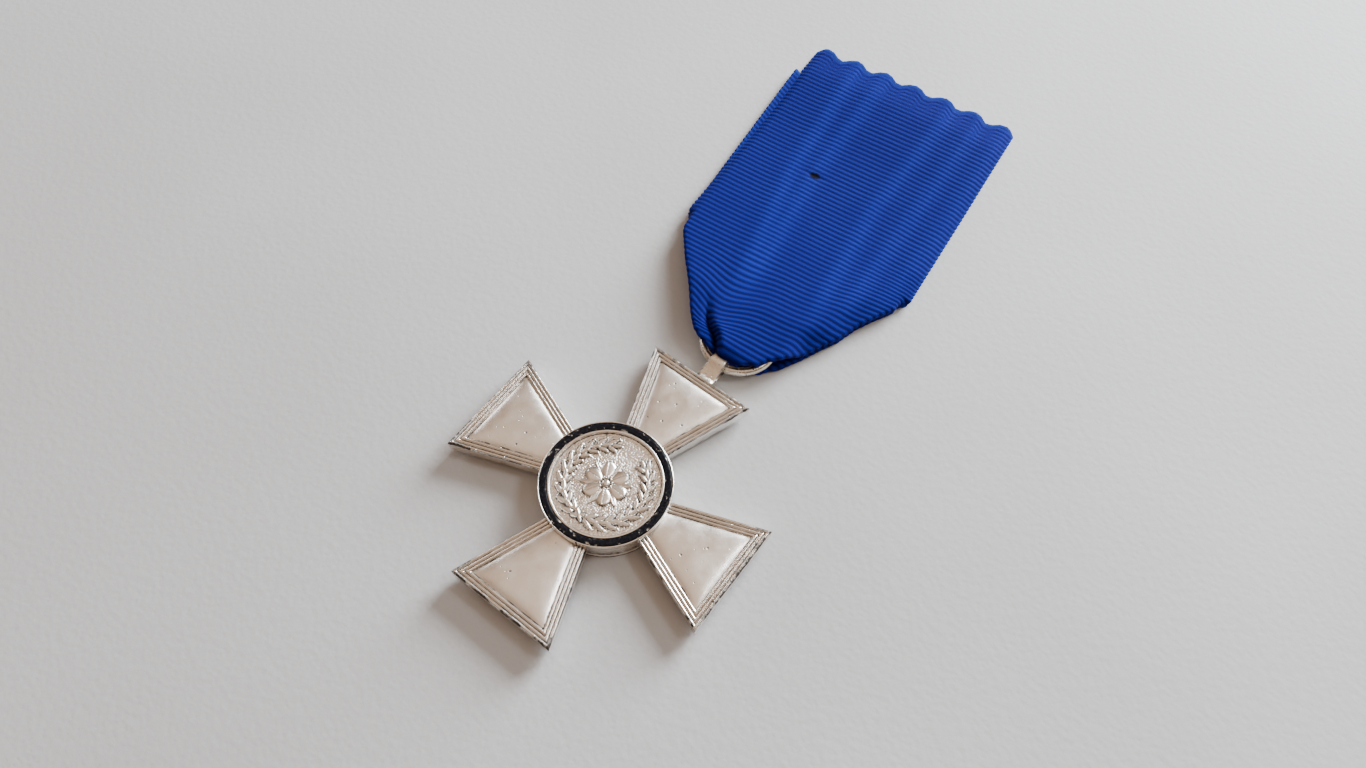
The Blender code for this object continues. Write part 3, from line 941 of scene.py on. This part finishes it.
def ribbon_path(step):
    """Stations along the strip: distance, place along the line, height, normal and layer.

    It starts at the front tail's end, goes down through the ring and back up behind it.
    The layer is 0 in the front tail, 1 in the back tail, and between them in the fold.
    """
    front_v = np.arange(FRONT_TOP_V, FOLD[0][0], -0.05)
    front = np.stack([front_v, front_centre_z(front_v)], -1)
    fold = rounded_line(FOLD)
    back_v = np.arange(FOLD[-1][0], BACK_TOP_V, 0.05)
    back = np.stack([back_v, np.full(len(back_v), BACK_Z)], -1)
    dense = np.concatenate([front, fold[1:-1], back])
    length = np.concatenate([[0], np.cumsum(np.linalg.norm(np.diff(dense, axis=0), axis=1))])
    s = np.arange(int(length[-1] / step) + 1) * step
    v, z = [np.interp(s, length, column) for column in dense.T]
    tangent = unit(np.stack([np.gradient(v), np.gradient(z)], -1))
    normal = np.stack([tangent[:, 1], -tangent[:, 0]], -1)
    fold_start, fold_end = length[len(front) - 1], length[-len(back)]
    layer = np.clip((s - fold_start) / (fold_end - fold_start), 0, 1)
    return s, v, z, normal, layer


def row_shift(u, v, front):
    """How far the ribs bend along the line, so that they fan where the cloth is gathered."""
    low = smoothstep(v, -3.2, 3.0)
    right_fan = 3.4 * smoothstep(u, 2.0, 19.0) ** 1.3 * smoothstep(v, 24.0, 9.0) * low
    left_dip = -1.9 * bell(u + 4.6, 3.6) * smoothstep(v, 15.0, 3.0) * smoothstep(v, -3.2, 2.0)
    bow = 0.2 * np.sin(u * 0.19 + 1.0) * smoothstep(v, 0.0, 12.0)
    return np.where(front, right_fan + left_dip + bow, 0.0)


def side_edges(v, layer):
    """Where the ribbon's left and right edges fold under, across from its line."""
    left_v = [-4.0, -3.3, -2.3, 0.0, 3.7, 7.4, 11.0, 13.2, 15.5]
    left_u = [-2.4, -4.0, -5.7, -7.5, -10.2, -13.1, -15.6, -16.5, -16.95]
    right_v = [-4.2, -2.9, -1.6, -0.4, 2.5, 5.1, 7.6, 10.6, 13.2, 15.6, 18.2]
    right_u = [2.6, 4.2, 5.0, 6.3, 8.1, 9.5, 10.95, 12.1, 13.6, 15.2, 16.3]
    front = layer < 0.5
    left = np.interp(v, left_v, left_u)
    left = np.interp(v + row_shift(left, v, front), left_v, left_u)
    right = np.interp(v, right_v, right_u)
    for _ in range(4):
        right = np.interp(v + row_shift(right, v, front), right_v, right_u)
    squeeze = smoothstep(layer, 0.2, 0.42) * smoothstep(layer, 0.9, 0.7)
    left = left + 1.2 * smoothstep(layer, 0.5, 1.0) * smoothstep(v, 15.0, 10.0)
    left = left * (1 - squeeze) - NECK_HALF_WIDTH * squeeze
    right = right * (1 - squeeze) + NECK_HALF_WIDTH * squeeze
    shift = BACK_SHIFT * np.clip((v - 8) / (BACK_TOP_V - 8), 0, 1) * (layer > 0.5)
    return left, right, shift


def half_section(edge):
    """Half of the cloth's cross-section, out from the middle: u, height and place in the cloth.

    The cloth runs flat, turns through a roll at the edge and comes back under as a flap.
    """
    edge = edge[:, None]
    half = RIBBON_WIDTH / 2
    turn = math.pi * smoothstep(half - edge, 0.1, 1.35)
    roll_length = math.pi * ROLL_RADIUS
    roll_start = np.minimum(edge - ROLL_RADIUS, half - 1.6)
    flap_start = roll_start + roll_length
    flap_length = half - roll_start - roll_length
    flat = np.linspace(0, 1, 16) * roll_start
    in_roll = np.linspace(0, 1, 7)[1:]
    in_flap = np.linspace(0, 1, 8)[1:]
    radius = roll_length / np.maximum(turn, 1e-3)
    angle = in_roll * turn
    roll_u = roll_start + radius * np.sin(np.maximum(angle, 1e-6))
    roll_h = -radius * (1 - np.cos(angle))
    shown = in_flap * np.minimum(flap_length, 0.46 * (roll_start + edge))
    flap_u = roll_u[:, -1:] + shown * np.cos(turn)
    flap_h = roll_h[:, -1:] - shown * np.sin(turn)
    u = np.concatenate([flat, roll_u, flap_u], 1)
    h = np.concatenate([0 * flat, roll_h, flap_h], 1)
    in_cloth = [flat, roll_start + in_roll * roll_length, flap_start + in_flap * flap_length]
    return u, h, np.concatenate(in_cloth, 1)


def waves(u, v, front):
    """Height of soft lengthwise ridges that close in towards the ring, and their light side."""
    height = 0.05 * np.sin(v * 0.16 + u * 0.11)
    light = 0.0
    for line, rise in SOFT_RIDGES:
        centre = np.interp(v, RIDGE_PLACES, line)
        height = height + rise * bell(u - centre, 1.25)
        light = light + rise / 0.17 * bell(u - centre - 0.5, 1.1)
    grown = smoothstep(v, 3.0, 12.0)
    return np.where(front, height, 0.04 * np.sin(u * 0.5 + 1.0)) * grown, light * grown * front


def droop(u, v, right):
    """How far the front layer's right edge hangs down past the ring."""
    near_edge = smoothstep(u / np.maximum(right, 1.0), 0.6, 1.0) ** 1.5
    past_ring = smoothstep(np.hypot(u, v), 6.2, 8.6)
    return np.maximum(front_centre_z(v) - 1.7, 0) * near_edge * past_ring


def pleat(u, v):
    """The gathered lobe right of the crease above the ring, and the crease itself, whose strength
    also sets the painted shade in it.
    """
    start, end = np.array([-6.4, 4.8]), np.array([-1.2, -3.6])
    reach = np.linalg.norm(end - start)
    line = (end - start) / reach
    offset = np.stack([u - start[0], v - start[1]], -1)
    along = offset @ line
    beside = offset @ np.array([-line[1], line[0]])
    strength = smoothstep(along, -1.0, reach * 0.7)
    lobe = smoothstep(beside, -0.3, 0.35) * fade(beside, 3.2)
    crease = bell(beside + 0.45, 0.5)
    return strength * (0.85 * lobe - 0.95 * crease), strength * crease


def clear_of_wire(points, front):
    """Heights with the front layer lifted over the ring's wire and the back one kept under it.

    It holds wherever the strip slides in the ring.
    """
    room = WIRE_RADIUS + CLOTH_HALF + RIB_HEIGHT + 0.04
    height = points[..., 2]
    for travel in np.linspace(0, JOINTS["ribbon_pull"]["range_m"][1] / MM, 9):
        centre = RING_CENTRE[:2] - LINE * travel
        across = np.hypot(points[..., 0] - centre[0], points[..., 1] - centre[1])
        reach = np.sqrt(np.clip(room**2 - (across - RING_RADIUS) ** 2, 0, None))
        over = np.maximum(height, RING_CENTRE[2] + reach)
        under = np.minimum(height, RING_CENTRE[2] - reach)
        height = np.where(reach > 0, np.where(front, over, under), height)
    return height


def scallop(across):
    """How far the cut end falls short of its points, across the ribbon."""
    phase = across / SCALLOP_PITCH + 2.5
    return SCALLOP_DEPTH * (1 - np.abs(np.sin(math.pi * phase)) ** 1.15)


def lay_strip():
    """The strip's middle surface as a grid of points, with what is known about each one."""
    s, path_v, path_z, normal, layer = ribbon_path(RIB_PITCH / RIB_SAMPLES)
    left, right, shift = side_edges(path_v, layer)
    u_left, h_left, c_left = half_section(CLOTH_CENTRE - left)
    u_right, h_right, c_right = half_section(right - CLOTH_CENTRE)
    u = np.concatenate([-u_left[:, :0:-1], u_right], 1) + CLOTH_CENTRE
    h = np.concatenate([h_left[:, :0:-1], h_right], 1)
    cloth = np.concatenate([-c_left[:, :0:-1], c_right], 1)

    total = s[-1]
    along = np.repeat(s[:, None], u.shape[1], 1)
    cut_start, cut_end = scallop(cloth), scallop(cloth + BACK_CUT_SHIFT)
    along = along + cut_start * np.clip(1 - along / CUT_MARGIN, 0, 1)
    along = along - cut_end * np.clip(1 - (total - along) / CUT_MARGIN, 0, 1)
    end_fade = smoothstep(along - cut_start, 0.1, 1.1)
    end_fade = end_fade * smoothstep(total - cut_end - along, 0.1, 1.1)

    by_station = (path_v, path_z, *normal.T, layer)
    v, z, n_v, n_z, place = [np.interp(along, s, numbers) for numbers in by_station]
    front = place < 0.5
    lift, crease = pleat(u, v)
    ridges, light_side = waves(u, v, front)
    snag = bell(np.hypot((u - SNAG[0]) / 0.62, (v - SNAG[1]) / 0.5), 1.0) * front
    h = h + ridges + lift * smoothstep(place, 0.5, 0.15)
    h = h - droop(u, v, right[:, None]) * front - 0.32 * snag
    in_turn = np.sin(np.clip(place, 0, 1) * math.pi)
    v = v + row_shift(u, v, front) * (1 - in_turn)
    u = u + shift[:, None]

    flat_place = (u[..., None] * SIDE + v[..., None] * LINE) + RING_CENTRE[:2]
    middle = np.concatenate([flat_place, z[..., None]], -1)
    middle[..., :2] += (h * n_v)[..., None] * LINE
    middle[..., 2] += h * n_z
    outside_neck = (place < 0.3) | (place > 0.8)
    middle[..., 2] = np.where(outside_neck, clear_of_wire(middle, front), middle[..., 2])
    known = {"across_mm": cloth, "along_mm": along, "end_fade": end_fade, "snag": snag}
    # Painted shade for the crease, drawn from its depth on the front layer.
    known["stain"] = np.clip(0.75 * crease * front, 0, 1)
    known["light_side"] = np.clip(light_side, 0, 1)
    return middle, known, float(total)


def weave(middle, known):
    """Ribs the strip: its middle surface, its half thickness and its material's numbers."""
    cloth, along, end_fade = known["across_mm"], known["along_mm"], known["end_fade"]
    beat = np.abs(np.sin(math.pi * (along / RIB_PITCH)))
    rib = beat**1.2 * (0.25 + 0.75 * end_fade) * (1 - 0.6 * known["snag"])
    uneven = 1 + 0.12 * value_noise(cloth, along * 2, 1.4)
    thick = CLOTH_HALF + RIB_HEIGHT * rib * uneven
    selvedge = smoothstep(RIBBON_WIDTH / 2 - np.abs(cloth), 0.5, 0.0)
    reach = 0.16 * np.sign(cloth) * selvedge * (beat - 0.3)
    ribbed = middle + unit(np.gradient(middle, axis=1)) * reach[..., None]
    worn = np.clip(0.75 * (1 - end_fade) + 0.3 * selvedge, 0, 1)
    values = {key: known[key] for key in ("across_mm", "along_mm", "stain", "light_side")}
    return ribbed, thick, values | {"rib": rib, "worn": worn}


def make_ribbon(material):
    """One strip, folded through the ring: both faces with ribs, closed round all edges."""
    middle, known, length = lay_strip()
    outward = unit(np.cross(np.gradient(middle, axis=0), np.gradient(middle, axis=1)))
    middle, thick, values = weave(middle, known)
    upper = middle + outward * thick[..., None]
    lower = middle - outward * thick[..., None]
    rows, columns = thick.shape
    rim = grid_rim(rows, columns)
    following = np.roll(rim, -1)
    faces = [
        grid_faces(rows, columns),
        grid_faces(rows, columns, start=rows * columns),
        np.stack([rim, following, following + rows * columns, rim + rows * columns], -1),
    ]
    points = np.concatenate([upper.reshape(-1, 3), lower.reshape(-1, 3)])
    both_faces = {key: np.tile(numbers.ravel(), 2) for key, numbers in values.items()}
    mesh = build_mesh("folded_ribbon", points, faces, both_faces)
    nodes = ["ribbon_loop", "ribbon_front_tail", "ribbon_back_tail"]
    piece = add_piece("folded_ribbon", mesh, material, None, nodes)
    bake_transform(piece)


# ---- the set


def make_floor():
    """A pale, finely pebbled table top under the medal."""
    mesh = bpy.data.meshes.new("table_top")
    half = 900.0 * MM
    corners = [(-half, -half, 0), (half, -half, 0), (half, half, 0), (-half, half, 0)]
    mesh.from_pydata(corners, [], [(0, 1, 2, 3)])
    n = Nodes("pebbled_table")
    pebble = n.cells(0.75, "SMOOTH_F1")
    fine = n.noise(0.45, 3.0, 0.6)
    tone = n.noise(60.0, 2.0)
    colour = n.mix(n.ramp(tone, 0.3, 0.7), (0.47, 0.465, 0.465), (0.51, 0.51, 0.515))
    n.set(
        Base_Color=n.mix(n.ramp(fine, 0.3, 0.75, 0.0, 0.12), colour, (0.38, 0.38, 0.385)),
        Roughness=0.7,
        Specular_IOR_Level=0.2,
        Normal=n.bump(n.plus(pebble, n.times(fine, 0.6)), 0.05, 0.6),
    )
    mesh.materials.append(n.material)
    put_in_scene("table_top", mesh)


def add_window(name, place, size, energy, colour):
    """A soft rectangle of light that faces the medal."""
    data = bpy.data.lights.new(name, "AREA")
    data.energy = energy
    data.color = colour
    data.shape = "RECTANGLE"
    data.size, data.size_y = size
    window = put_in_scene(name, data)
    window.location = place
    toward = Vector((0.0, 0.02, 0.0)) - window.location
    window.rotation_mode = "QUATERNION"
    window.rotation_quaternion = toward.to_track_quat("-Z", "Y")


def make_light():
    """A pale window low behind the ribbon, two small ones, and a warm, dim room all round."""
    world = bpy.data.worlds.new("room")
    bpy.context.scene.world = world
    world.use_nodes = True
    tree = world.node_tree
    background = tree.nodes["Background"]
    direction = tree.nodes.new("ShaderNodeTexCoord").outputs["Generated"]
    height = tree.nodes.new("ShaderNodeSeparateXYZ")
    tree.links.new(direction, height.inputs[0])
    ramp = tree.nodes.new("ShaderNodeValToRGB")
    tree.links.new(height.outputs["Z"], ramp.inputs[0])
    ramp.color_ramp.elements.new(0.8)
    # The room's colour by the upward part of a direction: dark near the table, pale overhead.
    stops = [(0.25, (0.15, 0.11, 0.085)), (0.8, (0.58, 0.385, 0.26)), (0.93, (1.08, 0.82, 0.63))]
    for element, (place, colour) in zip(ramp.color_ramp.elements, stops):
        element.position = place
        element.color = (*colour, 1)
    tree.links.new(ramp.outputs[0], background.inputs["Color"])
    background.inputs["Strength"].default_value = 0.84

    add_window("window", (0.1, 0.57, 0.225), (0.32, 0.3), 16.6, (0.88, 0.95, 1.0))
    add_window("side_window", (0.29, 0.25, 0.47), (0.12, 0.12), 0.9, (0.95, 0.98, 1.0))
    add_window("left_strip", (-0.5, 0.06, 0.17), (0.26, 0.1), 0.6, (0.98, 0.96, 1.0))


def make_camera():
    """The camera looks down on the medal from the front right, turned a little past level."""
    data = bpy.data.cameras.new("camera")
    data.lens = 26.74
    data.sensor_width = 36.0
    data.clip_start, data.clip_end = 0.005, 10.0
    camera = put_in_scene("camera", data)
    camera.location = (0.03644, -0.0334, 0.11828)
    camera.rotation_euler = [math.radians(a) for a in (28.605, -0.424, 37.494)]
    bpy.context.scene.camera = camera


def main():
    """Builds every piece, the table, the light and the camera."""
    body = silver("satin_silver", (0.95, 0.91, 0.86), (0.87, 0.81, 0.74), 0.34)
    struck = silver("struck_silver", (0.93, 0.89, 0.84), (0.85, 0.79, 0.72), 0.26, 0.03, 0.006)
    fittings = silver("worn_silver", (0.84, 0.79, 0.71), (0.7, 0.62, 0.52), 0.27, 0.4, 0.025)
    make_cross(body)
    make_front_medallion(struck)
    make_lacquer(lacquer())
    make_reverse(body)
    make_eyelet(fittings)
    make_ring(fittings)
    make_ribbon(ribbed_cloth())
    rivet_materials = frame["nodes"]["medallion_rivet"].data.materials
    rivet_materials.clear()
    rivet_materials.append(body)
    make_floor()
    make_light()
    make_camera()


main()
